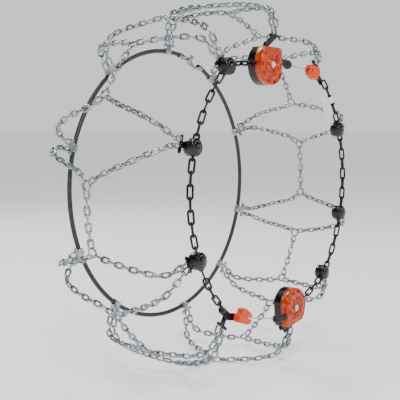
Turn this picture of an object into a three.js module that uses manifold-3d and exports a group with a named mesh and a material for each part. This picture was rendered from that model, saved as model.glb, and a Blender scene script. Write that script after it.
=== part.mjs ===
// A car snow chain with two self-tightening reels, in the shape that it takes on its tyre.
// A diamond net of steel chain crosses the tread. A sleeved cable hoop holds it on the inner side of the
// wheel, and on the outer side two lengths of black side chain, closed by two spring reels and their hooks.
// Everything is modelled in the wheel's own frame, with z pointing out of the wheel towards the reels,
// and the last group stands the wheel upright. Angles are clockwise from nine o'clock, in degrees.
import * as THREE from "three";
import { mergeVertices } from "three/addons/utils/BufferGeometryUtils.js";
import Module from "manifold-3d";

const wasm = await Module();
wasm.setup();

// ---- Driving dimensions, millimetres and degrees ----

// The tyre that the chain fits: 205/55 R16.
const tyreRadius = 316;
const tyreHalfWidth = 107;
const treadHalfWidth = 80;
const treadCrown = 4;

// Bright tread chain. A strand is drawn as one rod of the chain's thickness.
const strandRadius = 4.2;
const ringRadius = 7.6;
const ringWire = 2;
const barHalfAngle = 9.3;
const barShift = -8;
const barAngles = [-5.5, 38.9, 74.5, 108, 141, 176.5, 211, 241.5, 281, 313.8];

// The ten ties of the net on the outer side, round the side chain's own centre, which is a little off the axle.
const sideCentre = new THREE.Vector2(8, 6);
const ties = [
  { angle: 17, radius: 269, kind: "bumper" },
  { angle: 53, radius: 263, kind: "bumper" },
  { angle: 91, radius: 262, kind: "reel" },
  { angle: 125, radius: 268, kind: "end" },
  { angle: 157, radius: 263, kind: "bumper" },
  { angle: 196, radius: 263, kind: "bumper" },
  { angle: 226, radius: 272, kind: "bumper" },
  { angle: 257.5, radius: 275, kind: "reel" },
  { angle: 304.5, radius: 267, kind: "end" },
  { angle: 336, radius: 262, kind: "bumper" },
];
const tieOut = tyreHalfWidth + 6.5;
const tieSpread = 12;
const tieBarHalf = 2.8;
const tieStrapHalf = 5;
const plateThickness = 3;

// Black side chain, drawn as a rod.
const sideRadius = 247;
const sideOut = tieOut + 11.5;
const sideRod = 3.4;
const chainEndAngle = 6;

// Rim bumpers on the side chain.
const bumperRadius = 14;
const bumperTop = sideOut + 9;

// Inner hoop of sleeved cable, with its ties at the same angles.
const hoopRadius = 250;
const hoopOut = tieOut + 5.5;
const hoopRod = 4;
const hoopTieRadius = 264;
const hoopStart = 117;
const hoopEnd = 99;
const crimpRadius = 6.2;
const crimpLength = 15;

// Snap hook and eye that close the hoop, with the hook's sprung gate.
const claspPlate = 5;
const throatRadius = 6.5;
const claspWall = 4;
const collarWall = 1.6;
const collarLength = 13;
const eyeRadius = 8;
const eyeWire = 1.9;
const noseLength = 5;
const gatePivot = new THREE.Vector2(18, -8.5);
const gateTip = new THREE.Vector2(3.4, 4.2);
const gateHalf = 1.6;
const gatePin = 1.4;

// Spool of a reel, its ratchet, its axle and the spiral spring that turns it.
const axleRadius = 3.5;
const axleHead = 6.5;
const axleHeadDepth = 2.2;
const spoolFlange = 25;
const flangeWidth = 1.6;
const spoolCore = 14.5;
const spoolHub = 8;
const toothDepth = 2.5;
const ratchetRoot = spoolFlange - toothDepth;
const ratchetTeeth = 18;
const ratchetWidth = 3;
const ratchetPhase = 15;
const springRoom = 9;
const springStrip = 1.3;
const springTurns = 3;

// Lock pawl: pivot, elbow and tip in polar places round the spool, with the tip clear of the ratchet.
const pawlPivot = { radius: spoolFlange + 5, angle: 213 };
const pawlElbow = { radius: spoolFlange + 3.3, angle: 240 };
const pawlTip = { radius: spoolFlange + 1.4, angle: 241 };
const pawlHalf = 1.1;
const pawlBoss = 2.4;
const pawlPin = 1.2;
const pocketHalf = 3.4;
const pocketDepth = 6;

// Spring reels: a black back housing and an orange cover round the spool. The tie lug is beside the flat top.
const reels = [
  { name: "reel_1", x: -26, y: 213, turn: 0, tie: 2, end: 3 },
  { name: "reel_2", x: 58, y: -216.5, turn: 187, tie: 7, end: 8 },
];
const reelBack = tyreHalfWidth + 1;
const reelDepth = 29;
const housingDepth = 14;
const housingFloor = 2.5;
const coverWall = 3;
const cavityRadius = spoolFlange + 2;
const reelRound = cavityRadius + 8;
const reelFlatSide = cavityRadius + 4;
const reelFlatTop = cavityRadius + 2;
const reelCorner = 6;
const chainLugReach = reelRound + 7;
const tieLug = new THREE.Vector2(16, reelFlatTop + 7);
const lugHalf = 5.5;
const linkPin = 2.2;

// Tensioning cable, its outlet nozzle and the barrel on its end.
const cableHeight = 21.5;
const cableRadius = 1;
const nozzleReach = reelFlatSide + 26;
const nozzleLift = 3;
const nozzleBulb = 8;
const nozzleNeck = 5;
const barrelRadius = 3;
const barrelLength = 9;

// Hook that drops over a stud on the end plate of the side chain.
const hookHead = 11;
const hookThickness = 12;
const hookTailHalf = 8.5;
const hookTailWall = 4;
const hookFoot = { from: new THREE.Vector2(5, -6), to: new THREE.Vector2(14, -9), half: 7.5 };
const hookNotch = { x: 25.5, y: -10.5, radius: 3.4 };
const slotRelief = 0.6;
const studRadius = 2.6;
const studReach = 22;
const studInset = 15;
const studHeight = 6.7;

// Size plate on the side chain.
const sizePlate = { angle: 141, length: 58, width: 25, thickness: 2.4, clip: 14 };
const clipRadius = 6.6;
const clipClearance = 0.9;

// Clearance between pieces that touch.
const gap = 0.3;

// ---- Finishes ----

const finish = (color, roughness, metalness) => new THREE.MeshStandardMaterial({ color, roughness, metalness });
const zincSteel = finish("#c9cdce", 0.3, 1);
const blackSteel = finish("#16171a", 0.4, 0.6);
const blackNylon = finish("#0e0f10", 0.45, 0);
const orangePlastic = finish("#ee4b1c", 0.28, 0);
const bareSteel = finish("#b7b9ba", 0.25, 1);
const blackRubber = finish("#121212", 0.7, 0);
const greyPlastic = finish("#3a3b3d", 0.5, 0);
const whitePlastic = finish("#dcdde8", 0.5, 0);

// ---- Geometry helpers ----

const radians = THREE.MathUtils.degToRad;

// A three.js geometry, or a manifold-3d one, as a closed manifold-3d solid.
function solid(geometry) {
  const bare = new THREE.BufferGeometry();
  bare.setAttribute("position", geometry.getAttribute("position"));
  if (geometry.index) bare.setIndex(geometry.index);
  const merged = mergeVertices(bare, 1e-4);
  return new wasm.Manifold(
    new wasm.Mesh({
      numProp: 3,
      vertProperties: new Float32Array(merged.attributes.position.array),
      triVerts: new Uint32Array(merged.index.array),
    }),
  );
}

function meshOf(name, body, material) {
  const made = body.getMesh();
  const geometry = new THREE.BufferGeometry();
  geometry.setAttribute("position", new THREE.BufferAttribute(made.vertProperties, 3));
  geometry.setIndex(new THREE.BufferAttribute(made.triVerts, 1));
  geometry.computeVertexNormals();
  const mesh = new THREE.Mesh(geometry, material);
  mesh.name = name;
  return mesh;
}

// A point at a clock angle and radius about a centre in the wheel's plane.
function clockPoint(angle, radius, out, centre = { x: 0, y: 0 }) {
  const a = radians(angle);
  return new THREE.Vector3(centre.x - radius * Math.cos(a), centre.y + radius * Math.sin(a), out);
}

// The matrix of a frame at a clock angle: x runs clockwise, y away from the centre, z out of the wheel.
function clockFrame(angle, radius, out, centre) {
  const turn = new THREE.Matrix4().makeRotationZ(radians(90 - angle));
  return turn.setPosition(clockPoint(angle, radius, out, centre));
}

// Points of a regular arc, from one angle to another, anticlockwise when the angle grows.
function arc(x, y, radius, from, to, pieces) {
  const points = [];
  for (let i = 0; i <= pieces; i++) {
    const a = radians(from + ((to - from) * i) / pieces);
    points.push(new THREE.Vector2(x + radius * Math.cos(a), y + radius * Math.sin(a)));
  }
  return points;
}

// A flat outline given a thickness from z = low to z = high.
function slab(points, low, high) {
  const shape = new THREE.Shape(points);
  const geometry = new THREE.ExtrudeGeometry(shape, { depth: high - low, bevelEnabled: false });
  return solid(geometry.translate(0, 0, low));
}

// A round bar standing along z.
function post(x, y, radius, low, high, sides = 12) {
  const geometry = new THREE.CylinderGeometry(radius, radius, high - low, sides);
  return solid(geometry.rotateX(Math.PI / 2).translate(x, y, (low + high) / 2));
}

// A bar with round ends, flat in z, from one point to another.
function strap(from, to, halfWidth, low, high, pieces = 5) {
  const heading = THREE.MathUtils.radToDeg(Math.atan2(to.y - from.y, to.x - from.x));
  const outline = [
    ...arc(to.x, to.y, halfWidth, heading - 90, heading + 90, pieces),
    ...arc(from.x, from.y, halfWidth, heading + 90, heading + 270, pieces),
  ];
  return slab(outline, low, high);
}

// A round rod along a curve through the points given.
function rod(points, radius, sides, steps, closed = false) {
  const path = new THREE.CatmullRomCurve3(points, closed, "centripetal");
  const section = new THREE.Shape(arc(0, 0, radius, 0, 360 - 360 / sides, sides - 1));
  return solid(new THREE.ExtrudeGeometry(section, { extrudePath: path, steps, bevelEnabled: false }));
}

// A turned piece: the profile's x is the radius and y the height along z.
function turned(profile, sides) {
  const points = profile.map(([radius, height]) => new THREE.Vector2(radius, height));
  return solid(new THREE.LatheGeometry(points, sides).rotateX(Math.PI / 2));
}

function union(...bodies) {
  return bodies.reduce((sum, body) => sum.add(body));
}

// manifold-3d wants the sixteen numbers of a matrix column by column, as three.js keeps them.
function place(body, matrix) {
  return body.transform(matrix.elements);
}

// ---- Tread net ----

const axle = new THREE.Vector2(0, 0);
const strandLift = strandRadius + gap;

// What is tied where on one side of the wheel: 1 is the outer side, -1 the inner one.
function tieFrame(i, side) {
  const angle = ties[i].angle;
  if (side > 0) return clockFrame(angle, ties[i].radius, tieOut, sideCentre);
  return clockFrame(angle, hoopTieRadius, -tieOut, axle);
}

// The chain's path from a ring on the tread, over the shoulder and down the sidewall to its tie.
function strandPath(ringAngle, tieAngle, i, side, hand) {
  const tread = tyreRadius + strandLift;
  const wall = tyreHalfWidth + strandLift;
  const start = clockPoint(ringAngle - 0.8 * hand, tread, barShift + 0.7 * side * ringRadius);
  const profile = [
    [tread, 0.3 * treadHalfWidth, 0.24],
    [tread - treadCrown, 0.95 * treadHalfWidth, 0.52],
    [tread - 3 * treadCrown, wall - 9, 0.7],
    [tread - 7 * treadCrown, wall, 0.82],
  ];
  const over = profile.map(([radius, out, share]) => {
    const angle = ringAngle + (tieAngle - ringAngle) * share;
    const shift = (side > 0 ? sideCentre : axle).clone().multiplyScalar(share * share);
    return clockPoint(angle, radius, side * out, shift);
  });
  const down = [12, 5, gap].map((height) =>
    new THREE.Vector3((hand * tieSpread) / 2, height, 0).applyMatrix4(tieFrame(i, side)),
  );
  return [start, ...over, ...down];
}

// A cross chain: a ring on the tread with a strand to a tie on each side of the wheel.
function crossChain(ringAngle, tieAngle, i, hand) {
  const ring = solid(new THREE.TorusGeometry(ringRadius, ringWire, 5, 9).rotateX(Math.PI / 2));
  const strands = [1, -1].map((side) =>
    rod(strandPath(ringAngle, tieAngle, i, side, hand), strandRadius, 5, 8),
  );
  return union(place(ring, clockFrame(ringAngle, tyreRadius + strandLift, barShift)), ...strands);
}

// The short bar of chain along the tread, from inside one ring to just short of the next.
function treadBar(angle) {
  const onTread = (length) => THREE.MathUtils.radToDeg(length / (tyreRadius + strandLift));
  const from = -barHalfAngle + onTread(ringRadius);
  const to = barHalfAngle - onTread(ringRadius + ringWire + gap);
  const points = [0, 0.33, 0.67, 1].map((share) =>
    clockPoint(angle + from + (to - from) * share, tyreRadius + strandLift, barShift),
  );
  return rod(points, strandRadius, 5, 3);
}

function treadNet() {
  const net = new THREE.Group();
  barAngles.forEach((bar, i) => {
    const before = (i + ties.length - 1) % ties.length;
    const firstAngle = ties[before].angle - (i === 0 ? 360 : 0);
    const leading = crossChain(bar - barHalfAngle, firstAngle, before, 1).add(treadBar(bar));
    const trailing = crossChain(bar + barHalfAngle, ties[i].angle, i, -1);
    const name = (n) => "cross_chain_" + String(n).padStart(2, "0");
    net.add(meshOf(name(2 * i + 1), leading, zincSteel));
    net.add(meshOf(name(2 * i + 2), trailing, zincSteel));
  });
  return net;
}

// ---- Side chain, and the pieces that tie the net to it ----

const reelMatrix = (reel) =>
  new THREE.Matrix4().makeRotationZ(radians(reel.turn)).setPosition(reel.x, reel.y, reelBack);
const reelPoint = (reel, x, y, z) => new THREE.Vector3(x, y, z).applyMatrix4(reelMatrix(reel));
const sidePoint = (angle) => clockPoint(angle, sideRadius, sideOut, sideCentre);
const plateTop = sideOut - sideRod - gap;
const studTop = () => plateTop + studHeight;

// Half of the side chain: from the end plate at one tie, round four ties, to the lug of the next reel.
function sideChainPath(firstTie, reel) {
  const from = ties[firstTie].angle + chainEndAngle;
  const lastTie = (firstTie + 3) % ties.length;
  const to = ties[lastTie].angle + (lastTie < firstTie ? 360 : 0);
  const pieces = 12;
  const points = [];
  for (let i = 0; i <= pieces; i++) points.push(sidePoint(from + ((to - from) * i) / pieces));
  points.push(reelPoint(reel, -chainLugReach + 2, 0, sideOut - reelBack));
  return points;
}

const sideChains = [sideChainPath(reels[1].end, reels[0]), sideChainPath(reels[0].end, reels[1])];

function sideChain(points, radius) {
  return rod(points, radius, 6, 34);
}

// The bar that both strands of a tie hang on, and a strap from it to a place in the wheel's plane.
function tieBar(i, side, target) {
  const low = side * tieOut - plateThickness / 2;
  const high = low + plateThickness;
  const onTie = (x, y) => new THREE.Vector3(x, y, 0).applyMatrix4(tieFrame(i, side));
  const bar = strap(onTie(-tieSpread, -tieBarHalf), onTie(tieSpread, -tieBarHalf), tieBarHalf, low, high, 2);
  return bar.add(strap(onTie(0, -tieStrapHalf), target, tieStrapHalf, low, high, 2));
}

// A nylon bumper, threaded on the side chain, that keeps the steel off the rim.
function bumper(i) {
  const centre = sidePoint(ties[i].angle);
  const low = tieOut - plateThickness / 2;
  const dome = turned(
    [
      [0, low],
      [bumperRadius - 2, low],
      [bumperRadius, low + 3],
      [bumperRadius, bumperTop - 7],
      [bumperRadius - 3, bumperTop - 2.5],
      [bumperRadius / 2, bumperTop - 0.5],
      [0, bumperTop],
    ],
    10,
  );
  const body = dome.translate([centre.x, centre.y, 0]).add(tieBar(i, 1, centre));
  return sideChains.reduce((sum, points) => sum.subtract(sideChain(points, sideRod + gap)), body);
}

// The cable's line outside its reel: nozzle, hook and stud lie on it.
function cableLine(reel) {
  const nozzle = reelPoint(reel, nozzleReach, nozzleLift, cableHeight);
  const side = sidePoint(ties[reel.end].angle).setZ(nozzle.z);
  const heading = side.clone().sub(nozzle).normalize();
  const stud = side.clone().addScaledVector(heading, -studInset);
  const head = stud.clone().addScaledVector(heading, -studReach);
  const turn = new THREE.Matrix4().makeRotationZ(Math.atan2(heading.y, heading.x));
  return { nozzle, stud, head, heading, matrix: turn.setPosition(head) };
}

// The steel plate at the end of the side chain, with the stud that the hook drops over.
function endPlate(reel) {
  const i = reel.end;
  const centre = sidePoint(ties[i].angle);
  const chainEnd = sidePoint(ties[i].angle + chainEndAngle);
  const { stud } = cableLine(reel);
  const low = plateTop - plateThickness;
  return union(
    tieBar(i, 1, centre),
    post(centre.x, centre.y, 5.5, tieOut, plateTop, 10),
    strap(centre, stud, 6, low, plateTop, 4),
    strap(centre, chainEnd, 6, low, plateTop, 4),
    post(stud.x, stud.y, studRadius, low, studTop(), 10),
  );
}

// The pin link between a tie of the net and the lug of a reel.
function reelLink(reel) {
  const target = reelPoint(reel, tieLug.x, tieLug.y, 0);
  const top = tieOut + plateThickness / 2;
  const pin = post(target.x, target.y, linkPin, top - 2 * plateThickness, top, 8);
  return tieBar(reel.tie, 1, target).add(pin);
}

function outerSide() {
  const group = new THREE.Group();
  group.add(meshOf("side_chain_1", sideChain(sideChains[0], sideRod), blackSteel));
  group.add(meshOf("side_chain_2", sideChain(sideChains[1], sideRod), blackSteel));
  ties.forEach((tie, i) => {
    if (tie.kind !== "bumper") return;
    group.add(meshOf("rim_bumper_" + String(i + 1).padStart(2, "0"), bumper(i), blackNylon));
  });
  reels.forEach((reel, i) => {
    group.add(meshOf("end_plate_" + (i + 1), endPlate(reel), blackSteel));
    group.add(meshOf("reel_link_" + (i + 1), reelLink(reel), blackSteel));
  });
  return group;
}

// ---- Inner hoop ----

function hoopPoint(angle) {
  return clockPoint(angle, hoopRadius, -hoopOut, axle);
}

// A crimp pressed on the hoop's cable, with the bar that carries the strands.
function crimp(i) {
  const sleeve = new THREE.CylinderGeometry(crimpRadius, crimpRadius, crimpLength, 6);
  sleeve.rotateZ(Math.PI / 2);
  const angle = ties[i].angle;
  return place(solid(sleeve), clockFrame(angle, hoopRadius, -hoopOut, axle)).add(
    tieBar(i, -1, hoopPoint(angle)),
  );
}

function hoop() {
  const pieces = 30;
  const sweep = hoopEnd + 360 - hoopStart;
  const points = [];
  for (let i = 0; i <= pieces; i++) points.push(hoopPoint(hoopStart + (sweep * i) / pieces));
  return union(rod(points, hoopRod, 6, 40), ...ties.map((_, i) => crimp(i)));
}

// ---- Clasp of the hoop ----

// A frame level at the middle of the hoop's opening: x clockwise, y away from the axle.
const claspFrame = clockFrame((hoopStart + hoopEnd) / 2, hoopRadius, -hoopOut, axle);
const hoopEndAt = (angle) => hoopPoint(angle).applyMatrix4(claspFrame.clone().invert());

// The sleeve that is pressed on an end of the hoop's cable. hand is 1 at the clockwise end.
function collar(end, hand) {
  const radius = hoopRod + collarWall;
  const sleeve = new THREE.CylinderGeometry(radius, radius, collarLength, 8).rotateZ(Math.PI / 2);
  return solid(sleeve.translate(end.x - hand * (gap + collarLength / 2 + 1), end.y, 0));
}

function claspHook() {
  const half = claspPlate / 2;
  const outer = throatRadius + claspWall;
  const end = hoopEndAt(hoopStart);
  const bend = slab(
    [...arc(0, 0, outer, 90, 270, 8), ...arc(0, 0, throatRadius, 270, 90, 8)],
    -half,
    half,
  );
  const nose = new THREE.BoxGeometry(noseLength + 1, claspWall, claspPlate);
  nose.translate(noseLength / 2 - 0.5, throatRadius + claspWall / 2, 0);
  const shankEnd = new THREE.Vector2(end.x - collarLength / 2, end.y);
  const shankStart = new THREE.Vector2(0, -throatRadius - claspWall / 2);
  const shank = strap(shankStart, gatePivot, claspWall / 2, -half, half, 2);
  const reach = strap(gatePivot, shankEnd, claspWall / 2, -half, half, 2);
  const pin = post(gatePivot.x, gatePivot.y, gatePin, -half - 2.6, 0, 8);
  return place(union(bend, solid(nose), shank, reach, collar(end, 1), pin), claspFrame);
}

function claspGate() {
  const top = -claspPlate / 2 - gap;
  const lever = strap(gatePivot, gateTip, gateHalf, top - 2, top, 3);
  const eye = post(gatePivot.x, gatePivot.y, gatePin + 1.6, top - 2, top, 10);
  const tongue = post(gateTip.x, gateTip.y, gateHalf, top - 2, claspPlate / 2, 8);
  const hole = post(gatePivot.x, gatePivot.y, gatePin + gap, top - 3, top + 1, 8);
  return place(union(lever, eye, tongue).subtract(hole), claspFrame);
}

function claspEye() {
  const end = hoopEndAt(hoopEnd);
  const room = eyeRadius - eyeWire - 2 * gap;
  const centre = -throatRadius - Math.sqrt(room * room - (claspPlate * claspPlate) / 4);
  const ring = new THREE.TorusGeometry(eyeRadius, eyeWire, 6, 16).rotateX(Math.PI / 2);
  ring.translate(centre, 0, 0);
  const neck = rod(
    [
      new THREE.Vector3(centre - eyeRadius, 0, 0),
      new THREE.Vector3((centre - eyeRadius + end.x + collarLength) / 2, end.y / 2, 0),
      new THREE.Vector3(end.x + collarLength, end.y, 0),
    ],
    eyeWire,
    6,
    2,
  );
  return place(union(solid(ring), neck, collar(end, -1)), claspFrame);
}

function innerSide() {
  const group = new THREE.Group();
  group.add(meshOf("inner_hoop", hoop(), greyPlastic));
  group.add(meshOf("clasp_hook", claspHook(), zincSteel));
  group.add(meshOf("clasp_gate", claspGate(), bareSteel));
  group.add(meshOf("clasp_eye", claspEye(), zincSteel));
  return group;
}

// ---- Spring reels, in each reel's own frame: x towards the cable's outlet, z out of the wheel ----

const polar = ({ radius, angle }) => arc(0, 0, radius, angle, angle, 1)[0];

function reelOutline() {
  const topAngle = THREE.MathUtils.radToDeg(Math.asin(reelFlatTop / reelRound));
  const sideAngle = THREE.MathUtils.radToDeg(Math.acos(reelFlatSide / reelRound));
  const corner = arc(reelFlatSide - reelCorner, reelFlatTop - reelCorner, reelCorner, 0, 90, 3);
  return [...corner, ...arc(0, 0, reelRound, 180 - topAngle, 360 - sideAngle, 16)];
}

function backHousing() {
  const shell = slab(reelOutline(), 0, housingDepth);
  const chainLugHigh = sideOut - sideRod - gap - reelBack;
  const chainLug = strap(
    new THREE.Vector2(-reelRound + 4, 0),
    new THREE.Vector2(-chainLugReach, 0),
    lugHalf,
    chainLugHigh - plateThickness,
    chainLugHigh,
    3,
  );
  const tieLugHigh = tieOut - plateThickness / 2 - gap - reelBack;
  const tieLugBody = strap(
    new THREE.Vector2(tieLug.x, reelFlatTop - 4),
    tieLug,
    lugHalf,
    tieLugHigh - plateThickness,
    tieLugHigh,
    3,
  );
  const pinHole = post(tieLug.x, tieLug.y, linkPin + gap, -1, tieLugHigh + 1, 8);
  const cavity = post(0, 0, cavityRadius, housingFloor, housingDepth + 1, 24);
  const pocket = strap(polar(pawlPivot), polar(pawlElbow), pocketHalf, housingFloor, housingFloor + pocketDepth, 3);
  return union(shell, chainLug, tieLugBody).subtract(union(cavity, pocket, pinHole));
}

function frontCover() {
  const low = housingDepth + gap;
  const shell = slab(reelOutline(), low, reelDepth);
  const cavity = post(0, 0, cavityRadius, low - 1, reelDepth - coverWall, 24);
  const headRecess = post(0, 0, axleHead + gap + 2, reelDepth - axleHeadDepth / 2, reelDepth + 1, 14);
  const bore = post(0, 0, axleRadius + gap, low, reelDepth, 12);
  return shell.subtract(union(cavity, headRecess, bore));
}

function spool() {
  const low = housingFloor + gap;
  const springLow = low + ratchetWidth;
  const springHigh = springLow + springRoom;
  const high = reelDepth - coverWall - gap - 0.4;
  const bore = axleRadius + gap;
  const drum = turned(
    [
      [bore, low],
      [ratchetRoot, low],
      [ratchetRoot, springLow],
      [spoolHub, springLow],
      [spoolHub, springHigh],
      [spoolFlange, springHigh],
      [spoolFlange, springHigh + flangeWidth],
      [spoolCore, springHigh + flangeWidth],
      [spoolCore, high - flangeWidth],
      [spoolFlange, high - flangeWidth],
      [spoolFlange, high],
      [bore, high],
      [bore, low],
    ],
    14,
  );
  const teeth = [];
  for (let i = 0; i < ratchetTeeth; i++) {
    const angle = ratchetPhase + (i * 360) / ratchetTeeth;
    teeth.push(polar({ radius: spoolFlange, angle }), polar({ radius: ratchetRoot, angle: angle + 3 }));
  }
  const ratchet = slab(teeth, low, springLow).subtract(post(0, 0, bore + 1, low - 1, springLow + 1, 12));
  return drum.add(ratchet);
}

function axlePin() {
  const top = reelDepth + 1;
  const head = post(0, 0, axleHead, reelDepth - axleHeadDepth / 2 + gap, top, 14);
  return head.add(post(0, 0, axleRadius, housingFloor + gap, top - 0.5, 12));
}

// A spiral strip wound from the spool's hub to the housing's wall.
function spiralSpring() {
  const low = housingFloor + gap + ratchetWidth + gap;
  const inner = spoolHub + gap;
  const outer = cavityRadius - gap - springStrip;
  const pieces = 10 * springTurns;
  const line = (offset) => {
    const points = [];
    for (let i = 0; i <= pieces; i++) {
      const radius = inner + ((outer - inner) * i) / pieces + offset;
      points.push(polar({ radius, angle: (i * 360 * springTurns) / pieces }));
    }
    return points;
  };
  return slab([...line(springStrip), ...line(0).reverse()], low, low + springRoom - 2 * gap);
}

function lockPawl() {
  const low = housingFloor + gap;
  const high = low + ratchetWidth - gap;
  const pivot = polar(pawlPivot);
  const elbow = polar(pawlElbow);
  const arm = strap(pivot, elbow, pawlHalf, low, high, 2);
  const nose = strap(elbow, polar(pawlTip), pawlHalf, low, high, 4);
  const boss = post(pivot.x, pivot.y, pawlBoss, low, high, 10);
  const hole = post(pivot.x, pivot.y, pawlPin + gap, low - 1, high + 1, 8);
  return union(arm, nose, boss).subtract(hole);
}

function pawlPinPost() {
  const pivot = polar(pawlPivot);
  return post(pivot.x, pivot.y, pawlPin, housingFloor + gap, housingFloor + pocketDepth - gap, 8);
}

// The point where the cable leaves the spool, on its way to the nozzle.
function woundPoint() {
  const nozzle = new THREE.Vector2(nozzleReach, nozzleLift);
  const wound = spoolCore + gap + cableRadius;
  const angle = nozzle.angle() + Math.acos(wound / nozzle.length());
  return new THREE.Vector3(wound * Math.cos(angle), wound * Math.sin(angle), cableHeight);
}

// The cable from the spool through the nozzle to its barrel, in the wheel's frame.
function cablePath(reel) {
  const { nozzle, head, heading } = cableLine(reel);
  const wound = woundPoint().applyMatrix4(reelMatrix(reel));
  const inside = nozzle.clone().sub(wound);
  return [
    wound,
    wound.clone().addScaledVector(inside, 0.4),
    wound.clone().addScaledVector(inside, 0.8),
    nozzle,
    nozzle.clone().lerp(head, 0.3),
    nozzle.clone().lerp(head, 0.65),
    head.clone().addScaledVector(heading, -barrelRadius - gap),
  ];
}

const cable = (reel, radius) => rod(cablePath(reel), radius, 6, 16);

// The nozzle that the cable leaves by: a neck from the cover's flat side and a round rubber end.
function cableNozzle(reel) {
  const wound = woundPoint();
  const tip = new THREE.Vector3(nozzleReach, nozzleLift, cableHeight);
  const heading = tip.clone().sub(wound).normalize();
  const slope = Math.abs(heading.y / heading.x);
  const startX = reelFlatSide + gap + nozzleNeck * slope;
  const start = tip.clone().addScaledVector(heading, (startX - tip.x) / heading.x);
  const neckLength = start.distanceTo(tip);
  const neck = new THREE.CylinderGeometry(nozzleNeck, nozzleNeck, neckLength, 10).rotateZ(Math.PI / 2);
  neck.translate(neckLength / 2, 0, 0);
  const bulb = new THREE.SphereGeometry(nozzleBulb, 10, 6).translate(neckLength, 0, 0);
  const frame = new THREE.Matrix4().makeRotationZ(Math.atan2(heading.y, heading.x)).setPosition(start);
  const body = place(solid(neck).add(solid(bulb)), frame);
  return place(body, reelMatrix(reel)).subtract(cable(reel, cableRadius + gap));
}

function cableBarrel(reel) {
  const barrel = new THREE.CylinderGeometry(barrelRadius, barrelRadius, barrelLength, 10);
  return place(solid(barrel), cableLine(reel).matrix);
}

// The hook: a round head that holds the cable's barrel, and a tail with a blind slot for the stud.
// A foot on one side gives the fingers a hold.
function hook(reel) {
  const half = hookThickness / 2;
  const slotEnd = studReach + studRadius + gap;
  const tailEnd = new THREE.Vector2(slotEnd + hookTailWall - hookTailHalf, 0);
  const body = union(
    post(0, 0, hookHead, -half, half, 16),
    strap(new THREE.Vector2(0, 0), tailEnd, hookTailHalf, -half, half, 5),
    strap(hookFoot.from, hookFoot.to, hookFoot.half, -half, half, 5),
  );

  const seatRadius = barrelRadius + gap;
  const seatLow = -barrelLength / 2 - gap;
  const seatHigh = hookHead + 1;
  const seat = new THREE.CylinderGeometry(seatRadius, seatRadius, seatHigh - seatLow, 10);
  seat.translate(0, (seatHigh + seatLow) / 2, 0);

  const slotHalf = cableRadius + slotRelief;
  const cableSlot = new THREE.BoxGeometry(hookHead + 1, 2 * slotHalf, half + slotHalf + 1);
  cableSlot.translate(-(hookHead + 1) / 2, 0, (half + 1 - slotHalf) / 2);

  const underside = reelBack + cableHeight - half;
  const slotDepth = studTop() + gap - underside;
  const studSlot = new THREE.BoxGeometry(slotEnd, 2 * (studRadius + gap), slotDepth + 1);
  studSlot.translate(slotEnd / 2, 0, -half + (slotDepth - 1) / 2);

  const notch = post(hookNotch.x, hookNotch.y, hookNotch.radius, -half - 1, half + 1, 8);
  const cuts = union(solid(seat), solid(cableSlot), solid(studSlot), notch);
  return place(body.subtract(cuts), cableLine(reel).matrix);
}

function springReel(reel) {
  const group = new THREE.Group();
  const local = reelMatrix(reel);
  const add = (name, body, material) => group.add(meshOf(reel.name + "_" + name, body, material));
  add("back_housing", place(backHousing(), local), blackNylon);
  add("front_cover", place(frontCover(), local).subtract(cable(reel, cableRadius + 2 * gap)), orangePlastic);
  add("spool", place(spool(), local), greyPlastic);
  add("axle", place(axlePin(), local), bareSteel);
  add("spiral_spring", place(spiralSpring(), local), bareSteel);
  add("lock_pawl", place(lockPawl(), local), bareSteel);
  add("pawl_pin", place(pawlPinPost(), local), bareSteel);
  add("nozzle", cableNozzle(reel), blackRubber);
  add("cable", cable(reel, cableRadius), bareSteel);
  add("barrel", cableBarrel(reel), bareSteel);
  add("hook", hook(reel), orangePlastic);
  return group;
}

// ---- Size plate ----

// A blank plate beside the side chain, with a clip that lets it swing about the chain.
function sizePlateBody() {
  const { angle, length, width, thickness, clip } = sizePlate;
  const plate = new THREE.BoxGeometry(length, width, thickness);
  plate.translate(0, -clipRadius - 1 - width / 2, 0);
  const bridge = new THREE.BoxGeometry(clip, clipRadius + 4, thickness).translate(0, -clipRadius / 2 - 2, 0);
  const clipBody = new THREE.CylinderGeometry(clipRadius, clipRadius, clip, 10).rotateZ(Math.PI / 2);
  const frame = clockFrame(angle, sideRadius, sideOut, sideCentre);
  const body = place(union(solid(plate), solid(bridge), solid(clipBody)), frame);
  return body.subtract(sideChain(sideChains[1], sideRod + clipClearance));
}

const part = new THREE.Group();
part.add(treadNet(), outerSide(), innerSide());
reels.forEach((reel) => part.add(springReel(reel)));
part.add(meshOf("size_plate", sizePlateBody(), whitePlastic));
part.rotation.x = Math.PI / 2;

export default part;
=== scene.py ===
import math

import bmesh
import bpy
from mathutils import Matrix, Vector


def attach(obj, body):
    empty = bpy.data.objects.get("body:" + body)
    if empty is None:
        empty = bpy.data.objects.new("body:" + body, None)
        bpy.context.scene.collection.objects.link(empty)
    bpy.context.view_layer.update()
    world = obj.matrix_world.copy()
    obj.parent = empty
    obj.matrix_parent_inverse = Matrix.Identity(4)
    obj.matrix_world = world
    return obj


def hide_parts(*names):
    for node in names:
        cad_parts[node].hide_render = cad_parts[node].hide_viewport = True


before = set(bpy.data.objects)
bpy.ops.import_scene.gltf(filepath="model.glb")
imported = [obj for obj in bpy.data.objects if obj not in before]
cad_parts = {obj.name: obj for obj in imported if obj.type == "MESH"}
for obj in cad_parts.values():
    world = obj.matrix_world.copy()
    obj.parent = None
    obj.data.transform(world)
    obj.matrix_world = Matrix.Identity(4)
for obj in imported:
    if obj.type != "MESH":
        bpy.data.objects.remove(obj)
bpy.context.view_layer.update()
MM = 0.001

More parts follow.
